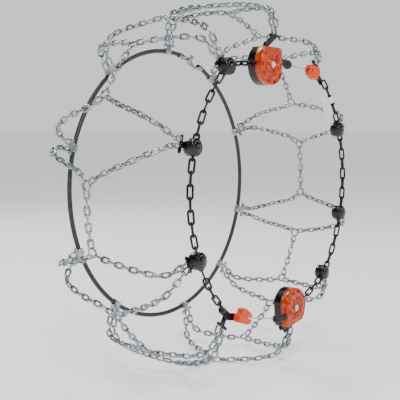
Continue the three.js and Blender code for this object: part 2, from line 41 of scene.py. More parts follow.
# ---- Camera ----
# It stands to the front left of the wheel, a little above the axle, and sees the tread and the outer side
# at once.
eye = Vector((-1.157, -0.839, 0.1115))
camera = bpy.data.objects.new("camera", bpy.data.cameras.new("camera"))
camera.location = eye
camera.rotation_euler = (-eye).to_track_quat("-Z", "Y").to_euler()
camera.data.sensor_width = 36
camera.data.lens = 70.8
camera.data.shift_x = -0.041
camera.data.shift_y = -0.034
bpy.context.scene.collection.objects.link(camera)
bpy.context.scene.camera = camera

# ---- Tread net ----
# Welded link chain of case-hardened steel wire, zinc plated and bright. Twenty cross chains hang on rings on
# the tread; the odd ones also carry the bar of chain that runs along the tread from ring to ring.
TYRE_RADIUS = 316
TYRE_HALF_WIDTH = 107
TREAD_HALF_WIDTH = 80
TREAD_CROWN = 4
CHAIN_LIFT = 4.5
RING_RADIUS = 7.6
RING_WIRE = 3.8
BAR_HALF_ANGLE = 9.3
BAR_SHIFT = -8
BAR_ANGLES = [-5.5, 38.9, 74.5, 108, 141, 176.5, 211, 241.5, 281, 313.8]
SIDE_CENTRE = Vector((8, 6))
# Clock angle and radius of each tie on the outer side.
TIES = [(17, 269), (53, 263), (91, 262), (125, 268), (157, 263), (196, 263), (226, 272), (257.5, 275),
        (304.5, 267), (336, 262)]
TIE_OUT = TYRE_HALF_WIDTH + 6.5
TIE_SPREAD = 12
HOOP_TIE_RADIUS = 264
NET_LINK = {"Pitch": 12.6, "Length": 19, "Width": 11, "Wire": 3.5, "Roll": 45}
STRAND_AT_RING = 7
STRAND_AT_TIE = 6
BAR_AT_RING = 6


def on_wheel(x, y, out):
    """A point of the wheel's own frame, in millimetres, as a point of the model: out is away from the car."""
    return Vector((x, -out, y)) * MM


def clock(angle, radius, out, centre=(0, 0)):
    """A point at a clock angle, in degrees clockwise from nine o'clock, round a centre."""
    a = math.radians(angle)
    return Vector((centre[0] - radius * math.cos(a), centre[1] + radius * math.sin(a), out))


def tie_point(tie, side, along, away):
    """A point beside a tie: along runs clockwise and away points from the wheel's centre."""
    angle, radius = TIES[tie]
    centre = SIDE_CENTRE if side > 0 else (0, 0)
    start = clock(angle, radius if side > 0 else HOOP_TIE_RADIUS, side * TIE_OUT, centre)
    a = math.radians(angle)
    clockwise = Vector((math.sin(a), math.cos(a), 0))
    outward = Vector((-math.cos(a), math.sin(a), 0))
    return start + clockwise * along + outward * away


def smooth_path(points, step):
    """A centripetal curve through the points, sampled about every step."""
    points = [2 * points[0] - points[1], *points, 2 * points[-1] - points[-2]]
    path = []
    for p0, p1, p2, p3 in zip(points, points[1:], points[2:], points[3:]):
        t1 = (p1 - p0).length ** 0.5
        t2 = t1 + (p2 - p1).length ** 0.5
        t3 = t2 + (p3 - p2).length ** 0.5
        count = max(1, round((p2 - p1).length / step))
        for i in range(count):
            t = t1 + (t2 - t1) * i / count
            a1 = p0.lerp(p1, t / t1)
            a2 = p1.lerp(p2, (t - t1) / (t2 - t1))
            a3 = p2.lerp(p3, (t - t2) / (t3 - t2))
            b1 = a1.lerp(a2, t / t2)
            b2 = a2.lerp(a3, (t - t1) / (t3 - t1))
            path.append(b1.lerp(b2, (t - t1) / (t2 - t1)))
    return [*path, points[-2]]


def trimmed(path, start, end):
    """A path without its first and last stretch."""
    lengths = [0]
    for a, b in zip(path, path[1:]):
        lengths.append(lengths[-1] + (b - a).length)
    total = lengths[-1]

    def at(distance):
        for i in range(len(path) - 1):
            if lengths[i + 1] >= distance:
                share = (distance - lengths[i]) / (lengths[i + 1] - lengths[i])
                return path[i].lerp(path[i + 1], share)
        return path[-1]

    inside = [p for p, d in zip(path, lengths) if start < d < total - end]
    return [at(start), *inside, at(total - end)]


def tyre_normal(p):
    """Which way is away from the tyre at a point: up off the tread, or off the sidewall."""
    radial = Vector((p.x, p.y, 0))
    share = min(max((TYRE_RADIUS + CHAIN_LIFT - radial.length) / (7 * TREAD_CROWN), 0), 1)
    side = Vector((0, 0, math.copysign(1, p.z)))
    return (radial.normalized() * (1 - share) + side * share).normalized()


def linear(hex_colour):
    """An sRGB hex colour as linear RGBA."""
    parts = [int(hex_colour[i:i + 2], 16) / 255 for i in (1, 3, 5)]
    return [c / 12.92 if c <= 0.04045 else ((c + 0.055) / 1.055) ** 2.4 for c in parts] + [1]


def add(tree, kind, inputs=None, **settings):
    """A node with its settings, and its inputs set to a value or linked to a socket."""
    made = tree.nodes.new(kind)
    for key, value in settings.items():
        setattr(made, key, value)
    for key, value in (inputs or {}).items():
        if isinstance(value, bpy.types.NodeSocket):
            tree.links.new(value, made.inputs[key])
        else:
            made.inputs[key].default_value = value
    return made


def material(name, light, dark, grain, roughness, bump, **shader):
    """A surface whose colour wanders between two in patches, with a fine grain sized in millimetres."""
    made = bpy.data.materials.new(name)
    made.use_nodes = True
    tree = made.node_tree
    tree.nodes.clear()
    place = add(tree, "ShaderNodeTexCoord").outputs["Object"]
    patches = add(tree, "ShaderNodeTexNoise", {"Vector": place, "Scale": 1 / (9 * MM), "Detail": 4})
    fine = add(tree, "ShaderNodeTexNoise", {"Vector": place, "Scale": 1 / (grain * MM), "Detail": 3})
    wander = add(tree, "ShaderNodeMapRange",
                 {"Value": patches.outputs["Fac"], "From Min": 0.35, "From Max": 0.65})
    colour = add(tree, "ShaderNodeMix", {0: wander.outputs["Result"], 6: linear(dark), 7: linear(light)},
                 data_type="RGBA")
    gloss = add(tree, "ShaderNodeMapRange", {"Value": fine.outputs["Fac"], "From Min": 0.3, "From Max": 0.7,
                                             "To Min": roughness[0], "To Max": roughness[1]})
    relief = add(tree, "ShaderNodeBump",
                 {"Height": fine.outputs["Fac"], "Strength": bump, "Distance": 0.3 * MM})
    shaded = add(tree, "ShaderNodeBsdfPrincipled", {"Base Color": colour.outputs[2],
                                                    "Roughness": gloss.outputs["Result"],
                                                    "Normal": relief.outputs["Normal"], **shader})
    add(tree, "ShaderNodeOutputMaterial", {"Surface": shaded.outputs["BSDF"]})
    return made


# Zinc plate on drawn wire: a bright, slightly blue metal, with dull patches where the links rub.
zinc_plate = material("zinc_plated_steel", "#b3bbc0", "#727b80", 0.8, (0.1, 0.3), 0.2, Metallic=1.0)


def chain_tree():
    """Geometry nodes that string links along each line of a mesh, every other one turned a quarter round."""
    tree = bpy.data.node_groups.new("link_chain", "GeometryNodeTree")
    sockets = {}
    tree.interface.new_socket("Geometry", in_out="OUTPUT", socket_type="NodeSocketGeometry")
    tree.interface.new_socket("Geometry", in_out="INPUT", socket_type="NodeSocketGeometry")
    kinds = {name: "NodeSocketFloat" for name in ("Pitch", "Length", "Width", "Wire", "Roll")}
    kinds["Material"] = "NodeSocketMaterial"
    for name, kind in kinds.items():
        sockets[name] = tree.interface.new_socket(name, in_out="INPUT", socket_type=kind).identifier
    given = add(tree, "NodeGroupInput").outputs

    def maths(operation, a, b=0.0):
        return add(tree, "ShaderNodeMath", {0: a, 1: b}, operation=operation).outputs[0]

    line = add(tree, "GeometryNodeMeshToCurve", {"Mesh": given["Geometry"]}).outputs["Curve"]
    length = add(tree, "GeometryNodeSplineLength").outputs["Length"]
    links = maths("ROUND", maths("DIVIDE", length, given["Pitch"]))
    step = maths("MULTIPLY", maths("DIVIDE", length, maths("MAXIMUM", links, 1.0)), 0.9999)
    spaced = add(tree, "GeometryNodeResampleCurve", {"Curve": line, "Length": step}, mode="LENGTH")

    outline = add(tree, "GeometryNodeCurvePrimitiveQuadrilateral",
                  {"Width": maths("SUBTRACT", given["Length"], given["Wire"]),
                   "Height": maths("SUBTRACT", given["Width"], given["Wire"])})
    bend = maths("MULTIPLY", maths("SUBTRACT", given["Width"], given["Wire"]), 0.49)
    rounded = add(tree, "GeometryNodeFilletCurve",
                  {"Curve": outline.outputs["Curve"], "Count": 3, "Radius": bend}, mode="POLY")
    wire = add(tree, "GeometryNodeCurvePrimitiveCircle",
               {"Resolution": 6, "Radius": maths("MULTIPLY", given["Wire"], 0.5)})
    link = add(tree, "GeometryNodeCurveToMesh", {"Curve": rounded.outputs["Curve"],
                                                "Profile Curve": wire.outputs["Curve"]})

    tangent = add(tree, "GeometryNodeInputTangent").outputs["Tangent"]
    outward = add(tree, "GeometryNodeInputNamedAttribute", {"Name": "outward"}, data_type="FLOAT_VECTOR")
    along = add(tree, "FunctionNodeAlignRotationToVector", {"Vector": tangent}, axis="X")
    upright = add(tree, "FunctionNodeAlignRotationToVector",
                  {"Rotation": along.outputs[0], "Vector": outward.outputs["Attribute"]},
                  axis="Z", pivot_axis="X")
    odd = maths("MODULO", add(tree, "GeometryNodeInputIndex").outputs["Index"], 2.0)
    turn = maths("ADD", maths("MULTIPLY", odd, math.pi / 2), maths("RADIANS", given["Roll"]))
    roll = add(tree, "ShaderNodeCombineXYZ", {"X": turn}).outputs["Vector"]
    turned = add(tree, "FunctionNodeRotateRotation", {"Rotation": upright.outputs[0], "Rotate By": roll},
                 rotation_space="LOCAL")
    strung = add(tree, "GeometryNodeInstanceOnPoints", {"Points": spaced.outputs["Curve"],
                                                        "Instance": link.outputs["Mesh"],
                                                        "Rotation": turned.outputs[0]})
    solid = add(tree, "GeometryNodeRealizeInstances", {"Geometry": strung.outputs["Instances"]})
    smooth = add(tree, "GeometryNodeSetShadeSmooth", {"Geometry": solid.outputs["Geometry"]})
    painted = add(tree, "GeometryNodeSetMaterial", {"Geometry": smooth.outputs["Geometry"],
                                                    "Material": given["Material"]})
    add(tree, "NodeGroupOutput", {"Geometry": painted.outputs["Geometry"]})
    return tree, sockets


link_tree, link_sockets = chain_tree()


def new_object(name, mesh):
    made = bpy.data.objects.new(name, mesh)
    bpy.context.scene.collection.objects.link(made)
    return made


def mesh_from(name, points, edges, faces):
    mesh = bpy.data.meshes.new(name)
    mesh.from_pydata([tuple(p) for p in points], edges, faces)
    mesh.validate()
    return mesh


def baked(piece):
    """The piece with its modifiers applied to its mesh."""
    evaluated = piece.evaluated_get(bpy.context.evaluated_depsgraph_get())
    mesh = bpy.data.meshes.new_from_object(evaluated)
    piece.modifiers.clear()
    piece.data = mesh
    return piece


def chain(name, paths, sizes, finish, normal):
    """Link chain along paths of the wheel's frame, as one piece."""
    points, edges, outward = [], [], []
    for path in paths:
        first = len(points)
        points += [on_wheel(*p) for p in path]
        outward += [on_wheel(*normal(p)).normalized() for p in path]
        edges += [(i, i + 1) for i in range(first, len(points) - 1)]
    mesh = mesh_from(name, points, edges, [])
    kept = mesh.attributes.new("outward", "FLOAT_VECTOR", "POINT")
    kept.data.foreach_set("vector", [c for n in outward for c in n])
    piece = new_object(name, mesh)
    modifier = piece.modifiers.new("links", "NODES")
    modifier.node_group = link_tree
    for key, value in sizes.items():
        modifier[link_sockets[key]] = float(value) if key == "Roll" else value * MM
    modifier[link_sockets["Material"]] = finish
    return baked(piece)


def tube(points, radius, sides, closed=False, lobes=0, lobe_depth=0.0, twist=0.0):
    """Vertices and faces of a round or fluted rod along points, in metres. twist is radians for each point."""
    points = [Vector(p) for p in points]
    count = len(points)
    vertices, faces = [], []
    side = None
    for i, point in enumerate(points):
        after = points[(i + 1) % count] if closed or i + 1 < count else point
        before = points[i - 1] if closed or i > 0 else point
        heading = (after - before).normalized()
        if side is None:
            side = heading.orthogonal().normalized()
        side = (side - heading * side.dot(heading)).normalized()
        other = heading.cross(side)
        for k in range(sides):
            a = 2 * math.pi * k / sides
            r = radius * (1 - lobe_depth * abs(math.sin(lobes * a / 2))) if lobes else radius
            a += twist * i
            vertices.append(point + (side * math.cos(a) + other * math.sin(a)) * r)
    rings = count if closed else count - 1
    for i in range(rings):
        for k in range(sides):
            a, b = i * sides + k, i * sides + (k + 1) % sides
            c, d = ((i + 1) % count) * sides + (k + 1) % sides, ((i + 1) % count) * sides + k
            faces.append((a, b, c, d))
    if not closed:
        faces.append(tuple(reversed(range(sides))))
        faces.append(tuple(range((count - 1) * sides, count * sides)))
    return vertices, faces


def joined(name, parts, finish):
    """One piece out of several sets of vertices and faces, smooth shaded."""
    vertices, faces = [], []
    for part_vertices, part_faces in parts:
        first = len(vertices)
        vertices += part_vertices
        faces += [tuple(i + first for i in face) for face in part_faces]
    mesh = mesh_from(name, vertices, [], faces)
    mesh.materials.append(finish)
    mesh.shade_smooth()
    return new_object(name, mesh)


def strand(ring_angle, tie, side, hand):
    """The line of a strand, from its ring on the tread to its tie."""
    tread = TYRE_RADIUS + CHAIN_LIFT
    wall = TYRE_HALF_WIDTH + CHAIN_LIFT
    tie_angle = TIES[tie][0] - (360 if TIES[tie][0] - ring_angle > 180 else 0)
    profile = [(tread, 0.3 * TREAD_HALF_WIDTH, 0.24), (tread - TREAD_CROWN, 0.95 * TREAD_HALF_WIDTH, 0.52),
               (tread - 3 * TREAD_CROWN, wall - 9, 0.7), (tread - 7 * TREAD_CROWN, wall, 0.82)]
    points = [clock(ring_angle - 0.8 * hand, tread, BAR_SHIFT + 0.7 * side * RING_RADIUS)]
    for radius, out, share in profile:
        shift = SIDE_CENTRE * (share * share) if side > 0 else (0, 0)
        points.append(clock(ring_angle + (tie_angle - ring_angle) * share, radius, side * out, shift))
    points += [tie_point(tie, side, hand * TIE_SPREAD / 2, away) for away in (12, 5, 0.3)]
    return smooth_path(points, 3)


def ring(angle):
    """The ring that joins two strands and the bar, flat on the tread."""
    centre = clock(angle, TYRE_RADIUS + CHAIN_LIFT, BAR_SHIFT)
    a = math.radians(angle)
    clockwise = Vector((math.sin(a), math.cos(a), 0))
    across = Vector((0, 0, 1))
    points = [on_wheel(*(centre + (clockwise * math.cos(t) + across * math.sin(t)) * RING_RADIUS))
              for t in (2 * math.pi * i / 20 for i in range(20))]
    return tube(points, RING_WIRE / 2 * MM, 8, closed=True)


def cross_chain(number, ring_angle, tie, hand, bar_angle=None):
    name = f"cross_chain_{number:02d}"
    paths = [trimmed(strand(ring_angle, tie, side, hand), STRAND_AT_RING, STRAND_AT_TIE) for side in (1, -1)]
    if bar_angle is not None:
        reach = BAR_HALF_ANGLE - math.degrees((RING_RADIUS + BAR_AT_RING) / (TYRE_RADIUS + CHAIN_LIFT))
        paths.append([clock(bar_angle + reach * share, TYRE_RADIUS + CHAIN_LIFT, BAR_SHIFT)
                      for share in (-1, -0.5, 0, 0.5, 1)])
    links = chain(f"{name}_links", paths, NET_LINK, zinc_plate, tyre_normal)
    loop = joined(f"{name}_ring", [ring(ring_angle)], zinc_plate)
    for piece in (links, loop):
        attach(piece, "chain_set")
    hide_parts(name)


for i, bar in enumerate(BAR_ANGLES):
    before = (i - 1) % len(TIES)
    cross_chain(2 * i + 1, bar - BAR_HALF_ANGLE, before, 1, bar)
    cross_chain(2 * i + 2, bar + BAR_HALF_ANGLE, i, -1)

# ---- Side chain ----
# Long-link chain of black zinc-nickel plated steel in two halves. Each runs from an end plate, past three ties
# with bumpers, to the lug of the next reel.
SIDE_RADIUS = 247
SIDE_OUT = TIE_OUT + 11.5
CHAIN_END_ANGLE = 6
SIDE_LINK = {"Pitch": 19.6, "Length": 26.4, "Width": 11.6, "Wire": 3.6, "Roll": 45}
REEL_BACK = TYRE_HALF_WIDTH + 1
REELS = [{"name": "reel_1", "x": -26, "y": 213, "turn": 0, "tie": 2, "end": 3},
         {"name": "reel_2", "x": 58, "y": -216.5, "turn": 187, "tie": 7, "end": 8}]
CHAIN_LUG = 42
SIDE_AT_PLATE = 8
SIDE_AT_LUG = 9

# Dark plating shows a soft sheen, with grey scuffs where links have rubbed it thin.
black_plate = material("black_plated_steel", "#303236", "#08090a", 0.7, (0.18, 0.42), 0.25, Metallic=0.8)


def side_point(angle):
    return clock(angle, SIDE_RADIUS, SIDE_OUT, SIDE_CENTRE)


def reel_point(reel, x, y, z):
    """A point of a reel's own frame: x runs to the cable's outlet and z away from the car."""
    t = math.radians(reel["turn"])
    return Vector((reel["x"] + x * math.cos(t) - y * math.sin(t),
                   reel["y"] + x * math.sin(t) + y * math.cos(t), REEL_BACK + z))


def side_path(first_tie, reel):
    last = (first_tie + 3) % len(TIES)
    start = TIES[first_tie][0] + CHAIN_END_ANGLE
    end = TIES[last][0] + (360 if last < first_tie else 0)
    points = [side_point(start + (end - start) * i / 12) for i in range(13)]
    points.append(reel_point(reel, -CHAIN_LUG + 2, 0, SIDE_OUT - REEL_BACK))
    return smooth_path(points, 3)


side_paths = [side_path(REELS[1]["end"], REELS[0]), side_path(REELS[0]["end"], REELS[1])]
for i, path in enumerate(side_paths):
    line = trimmed(path, SIDE_AT_PLATE, SIDE_AT_LUG)
    half = chain(f"side_chain_{i + 1}_links", [line], SIDE_LINK, black_plate, lambda p: Vector((0, 0, 1)))
    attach(half, "chain_set")
    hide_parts(f"side_chain_{i + 1}")

# ---- Rim bumpers, end plates and pin links ----
# A bumper is a moulded black nylon button, threaded on the side chain. The plates are pressed from 3 mm
# strip, tumbled round at the edges and plated black. Each holds the two strands of its tie on a cross bar.
BUMPERS = [1, 2, 5, 6, 7, 10]
BUMPER_RADIUS = 14
BUMPER_TOP = SIDE_OUT + 9
PLATE_VOXEL = 0.45
PLATE = 3
PLATE_TOP = SIDE_OUT - 3.7
STUD_INSET = 15
STUD_REACH = 22
STUD_HEIGHT = 6.7
STUD_RADIUS = 2.6
POST_RADIUS = 5.5
LINK_PIN = 2.2
END_PLATE_HALF = 6
TIE_BAR_HALF = 2.8
TIE_STRAP_HALF = 5
# Places in a reel's own frame: the lug for the pin link, and the nozzle's end with the cable's height.
TIE_LUG = (16, 36)
NOZZLE = (57, 3, 21.5)

# Moulded nylon: near black, with a fine spark-eroded grain that breaks up its gloss.
black_nylon = material("moulded_nylon", "#0b0b0c", "#040405", 0.5, (0.12, 0.26), 0.05)


def tumbled(name, sources, finish, voxel, rounds, extra=()):
    """A finished piece from closed bodies, fused on a fine grid and rounded at the edges by smoothing."""
    mesh = bpy.data.meshes.new(name)
    shape = bmesh.new()
    for source in sources:
        shape.from_mesh(source)
    for part_vertices, part_faces in extra:
        corners = [shape.verts.new(p) for p in part_vertices]
        for face in part_faces:
            shape.faces.new([corners[i] for i in face])
    bmesh.ops.remove_doubles(shape, verts=shape.verts, dist=0.02 * MM)
    shape.to_mesh(mesh)
    shape.free()
    piece = new_object(name, mesh)
    grid = piece.modifiers.new("grid", "REMESH")
    grid.mode = "VOXEL"
    grid.voxel_size = voxel * MM
    soft = piece.modifiers.new("soft", "SMOOTH")
    soft.iterations = rounds
    soft.factor = 0.5
    baked(piece)
    piece.data.materials.clear()
    piece.data.materials.append(finish)
    piece.data.shade_smooth()
    return piece


def turned(profile, place, sides=48):
    """Vertices and faces of a lathe shape: profile is (radius, height) in millimetres, from axis to axis."""
    vertices, faces = [place @ Vector((0, 0, profile[0][1] * MM))], []
    rings = profile[1:-1]
    for radius, height in rings:
        for k in range(sides):
            a = 2 * math.pi * k / sides
            vertices.append(place @ Vector((radius * math.cos(a) * MM, radius * math.sin(a) * MM,
                                            height * MM)))
    vertices.append(place @ Vector((0, 0, profile[-1][1] * MM)))
    last = len(vertices) - 1
    for k in range(sides):
        j = (k + 1) % sides
        faces.append((0, 1 + j, 1 + k))
        for i in range(len(rings) - 1):
            a, b = 1 + i * sides, 1 + (i + 1) * sides
            faces.append((a + k, a + j, b + j, b + k))
        top = 1 + (len(rings) - 1) * sides
        faces.append((last, top + k, top + j))
    return vertices, faces


# The wheel's own frame as a matrix, in metres.
WHEEL = Matrix(((1, 0, 0, 0), (0, 0, -1, 0), (0, 1, 0, 0), (0, 0, 0, 1)))


def facing_out(point):
    """A frame at a point of the wheel's frame, with z away from the car."""
    return WHEEL @ Matrix.Translation(Vector(point) * MM)


def strap_plate(start, end, half, low, high):
    """Vertices and faces of a flat strap with round ends, between two points of the wheel's plane."""
    lean = math.atan2(end.y - start.y, end.x - start.x)
    outline = []
    for centre, first in ((start, lean + math.pi / 2), (end, lean - math.pi / 2)):
        turns = [first + math.pi * i / 8 for i in range(9)]
        outline += [(centre.x + half * math.cos(a), centre.y + half * math.sin(a)) for a in turns]
    count = len(outline)
    vertices = [on_wheel(x, y, out) for out in (low, high) for x, y in outline]
    faces = [tuple(range(count)), tuple(reversed(range(count, 2 * count)))]
    faces += [(i, i + count, (i + 1) % count + count, (i + 1) % count) for i in range(count)]
    return vertices, faces


def tie_bar(tie, side, target):
    """The bar that both strands of a tie hang on, and the strap from it to its target."""
    low, high = side * TIE_OUT - PLATE / 2, side * TIE_OUT + PLATE / 2
    ends = [tie_point(tie, side, along, -TIE_BAR_HALF) for along in (-TIE_SPREAD, TIE_SPREAD)]
    strap_start = tie_point(tie, side, 0, -TIE_STRAP_HALF)
    return [strap_plate(*ends, TIE_BAR_HALF, low, high),
            strap_plate(strap_start, target, TIE_STRAP_HALF, low, high)]


for number in BUMPERS:
    node = f"rim_bumper_{number:02d}"
    centre = side_point(TIES[number - 1][0])
    low = TIE_OUT - 1.5 - SIDE_OUT
    top = BUMPER_TOP - SIDE_OUT
    # From the foot up: the side with a groove, the rounded shoulder, a ring groove and the domed top.
    profile = [(0, low + 0.5), (BUMPER_RADIUS - 2, low + 0.5), (BUMPER_RADIUS, low + 3),
               (BUMPER_RADIUS, top - 8), (BUMPER_RADIUS - 0.6, top - 7), (BUMPER_RADIUS - 0.6, top - 6),
               (BUMPER_RADIUS, top - 5), (BUMPER_RADIUS - 0.8, top - 3.4), (BUMPER_RADIUS - 3, top - 2),
               (BUMPER_RADIUS - 4.2, top - 1.6), (BUMPER_RADIUS - 5, top - 2.6),
               (BUMPER_RADIUS - 6.2, top - 2.6), (BUMPER_RADIUS - 7, top - 0.8), (BUMPER_RADIUS / 4, top),
               (0, top)]
    button = joined(f"{node}_button", [turned(profile, facing_out(centre))], black_nylon)
    strap = tumbled(f"{node}_tie", [], black_nylon, PLATE_VOXEL, 4, tie_bar(number - 1, 1, centre))
    for piece in (button, strap):
        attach(piece, "chain_set")
    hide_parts(node)


def cable_line(reel):
    """The cable's line outside its reel: the nozzle's end, the middle of the hook's head and the heading."""
    nozzle = reel_point(reel, *NOZZLE)
    anchor = side_point(TIES[reel["end"]][0])
    anchor.z = nozzle.z
    heading = (anchor - nozzle).normalized()
    return nozzle, anchor - heading * (STUD_INSET + STUD_REACH), heading


def post(centre, radius, low, high):
    """A round post that stands out from the wheel, with its edges broken."""
    profile = [(0, low), (radius - 0.3, low), (radius, low + 0.3), (radius, high - 0.5),
               (radius - 0.5, high), (0, high)]
    return turned(profile, facing_out((centre.x, centre.y, 0)), 32)


for i, reel in enumerate(REELS):
    _, head, heading = cable_line(reel)
    stud = head + heading * STUD_REACH
    centre = side_point(TIES[reel["end"]][0])
    chain_end = side_point(TIES[reel["end"]][0] + CHAIN_END_ANGLE)
    target = reel_point(reel, *TIE_LUG, 0)
    arms = [strap_plate(centre, tip, END_PLATE_HALF, PLATE_TOP - PLATE, PLATE_TOP) for tip in (stud, chain_end)]
    plates = {
        f"end_plate_{i + 1}": [*tie_bar(reel["end"], 1, centre), post(centre, POST_RADIUS, TIE_OUT, PLATE_TOP),
                               *arms, post(stud, STUD_RADIUS, PLATE_TOP - PLATE, PLATE_TOP + STUD_HEIGHT)],
        f"reel_link_{i + 1}": [*tie_bar(reel["tie"], 1, target),
                               post(target, LINK_PIN, TIE_OUT - 1.5 * PLATE, TIE_OUT + PLATE / 2)]}
    for node, parts in plates.items():
        plate = tumbled(f"{node}_pressed", [], black_plate, PLATE_VOXEL, 4, parts)
        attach(plate, "chain_set")
        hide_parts(node)

# ---- Inner hoop and its clasp ----
# Steel cable in a dark grey plastic sleeve, with steel crimps that carry the strands. A snap hook with a
# sprung gate closes it through an eye, both forged and zinc plated.
HOOP_RADIUS = 250
HOOP_OUT = TIE_OUT + 5.5
HOOP_START = 117
HOOP_END = 99
HOOP_SLEEVE = 3.9
HOOP_STEPS = 220
# A crimp from end to end: two barrels with broken edges, and a pressed waist with a bead between them.
CRIMP = [(0, -7.5), (5.4, -7.5), (6.2, -6.7), (6.2, -3.4), (5.5, -2.4), (5.5, -0.9), (6.1, 0), (5.5, 0.9),
         (5.5, 2.4), (6.2, 3.4), (6.2, 6.7), (5.4, 7.5), (0, 7.5)]

# Extruded plastic sleeve: dull, with faint streaks from the die.
sleeve_plastic = material("extruded_sleeve", "#2c2d30", "#17181a", 0.9, (0.4, 0.6), 0.15)

hoop_sweep = HOOP_END + 360 - HOOP_START
hoop_line = [on_wheel(*clock(HOOP_START + hoop_sweep * i / HOOP_STEPS, HOOP_RADIUS, -HOOP_OUT))
             for i in range(HOOP_STEPS + 1)]
sleeve = joined("inner_hoop_sleeve", [tube(hoop_line, HOOP_SLEEVE * MM, 16)], sleeve_plastic)
pressed = []
for i, (angle, _) in enumerate(TIES):
    middle = clock(angle, HOOP_RADIUS, -HOOP_OUT)
    a = math.radians(angle)
    turn = Vector((math.sin(a), math.cos(a), 0)).to_track_quat("Z", "Y").to_matrix().to_4x4()
    pressed.append(turned(CRIMP, facing_out(middle) @ turn, 32))
    pressed += tie_bar(i, -1, middle)
crimps = tumbled("inner_hoop_crimps", [], zinc_plate, PLATE_VOXEL, 3, pressed)
for piece, name in ((sleeve, "hoop_sleeve"), (crimps, "bright_steel")):
    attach(piece, "chain_set")
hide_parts("inner_hoop")
for node, body in (("clasp_hook", "chain_set"), ("clasp_eye", "chain_set"), ("clasp_gate", "clasp_gate")):
    forged = tumbled(f"{node}_forged", [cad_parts[node].data], zinc_plate, 0.35, 5)
    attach(forged, body)
    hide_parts(node)

# ---- Size plate ----
# A blank injection-moulded tag in white plastic. Its clip goes round the side chain, between an end plate and
# the next bumper, and the tag swings on it.

# Moulded polypropylene: a cool white that scatters light softly, with a satin skin.
white_plastic = material("moulded_polypropylene", "#e6e6ee", "#d3d4e0", 0.6, (0.35, 0.5), 0.1)
tag = tumbled("size_plate_moulded", [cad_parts["size_plate"].data], white_plastic, 0.45, 5)
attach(tag, "size_plate")
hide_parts("size_plate")

# ---- Spring reels ----
# A black nylon back housing and a glossy orange cover close on a spool, which a spiral spring turns. A rivet
# holds them together, and the cable leaves by a rubber nozzle towards its hook.
SPOOL_FLANGE = 25
HOUSING_DEPTH = 14
HOUSING_SKIN = 1.4
REEL_DEPTH = 29
COVER_WALL = 3
CAVITY = SPOOL_FLANGE + 2
REEL_ROUND = CAVITY + 8
FLAT_SIDE = CAVITY + 4
FLAT_TOP = CAVITY + 2
CORNER = 6
AXLE_RADIUS = 3.5
AXLE_HEAD = 6.5
AXLE_FOOT = 2.8
CABLE_RADIUS = 1
SPOOL_CORE = 14.5
BARREL_RADIUS = 3
GAP = 0.3
SCREW_ANGLES = (20, 140, 198, 320)
SCREW_CIRCLE = 30
BACK_RINGS = (12, 19, 26)
HOOK_RING_RADIUS = 7.6
# Lathe profiles, as (radius, height): a back screw's stem and domed head with its socket.
SCREW = [(0, -3), (2.6, -3), (2.6, 0.1), (2.2, 0.5), (1.3, 0.6), (1.1, 0.1), (0, 0.1)]
# The axle from its foot up, with the rivet's rolled head on the cover.
RIVET = [(0, AXLE_FOOT), (AXLE_RADIUS - 0.4, AXLE_FOOT), (AXLE_RADIUS, 3.2), (AXLE_RADIUS, 28.2),
         (AXLE_HEAD - 0.6, 28.2), (AXLE_HEAD, 28.7), (AXLE_HEAD - 0.3, 29.2), (AXLE_HEAD - 1.6, 29.7),
         (3.4, 30.0), (2.6, 29.5), (1.2, 29.2), (0, 29.2)]
# The nozzle from the end in the cover: its collar, five ribs, and the bulb with two grooves round it.
BOOT = [(0, -26.6), (5.6, -26.6), (5.6, -24.4), (5.2, -22)]
for rib in range(5):
    BOOT += [(radius, height + 2.6 * rib) for radius, height in
             ((5.2, -20.5), (4.2, -19.7), (4.2, -19.1), (5.2, -18.3))]
BOOT += [(5.6, -7), (7.0, -4.8), (7.6, -3.4), (6.9, -2.8), (6.9, -2.2), (7.9, -1.6), (8, 0), (7.8, 1.4),
         (6.9, 1.9), (6.8, 2.5), (7.3, 3.1), (6.4, 5.1), (5.2, 6.4), (3.6, 7.4), (2.2, 7.8), (1.9, 6.6),
         (0, 6.6)]

# Gloss polyamide, orange through and through: a wet looking skin. Its colour wanders at random into deeper red
# patches, partly the moulding's uneven tone and partly painted shade that stands in for the shadows of the
# cover's relief.
orange_shell_with_painted_shade = material("gloss_polyamide_orange", "#d44200", "#8c2000", 1.2, (0.16, 0.3), 0.08,
                        **{"Specular IOR Level": 0.25, "Coat Weight": 0.15, "Coat Roughness": 0.06})
# The hooks are of a softer, paler grade with a satin skin.
coral_shell = material("satin_polyamide_coral", "#e84006", "#ca3402", 1.2, (0.24, 0.4), 0.08,
                       **{"Specular IOR Level": 0.25, "Coat Weight": 0.1, "Coat Roughness": 0.12})
# Cut and turned steel, bright, with fine tool marks.
turned_steel = material("turned_steel", "#d6d8da", "#a9acb0", 0.4, (0.15, 0.35), 0.2, Metallic=1.0)
# Hardened spring strip, blued by heat.
blued_steel = material("blued_spring_steel", "#5b6472", "#3b4150", 0.5, (0.25, 0.4), 0.15, Metallic=1.0)
# Moulded rubber: dull black with a powdery bloom.
nozzle_rubber = material("moulded_rubber", "#1f1f20", "#0d0d0e", 0.6, (0.5, 0.75), 0.3)
# Drawn wire strand, bright with oily shadows between the wires.
wire_strand = material("bright_wire_strand", "#d9dadb", "#8e9092", 0.5, (0.2, 0.4), 0.2, Metallic=1.0)
# Unpolished grey nylon: a flat, slightly waxy surface.
grey_nylon = material("grey_nylon", "#46484b", "#2d2e30", 0.6, (0.4, 0.6), 0.15)


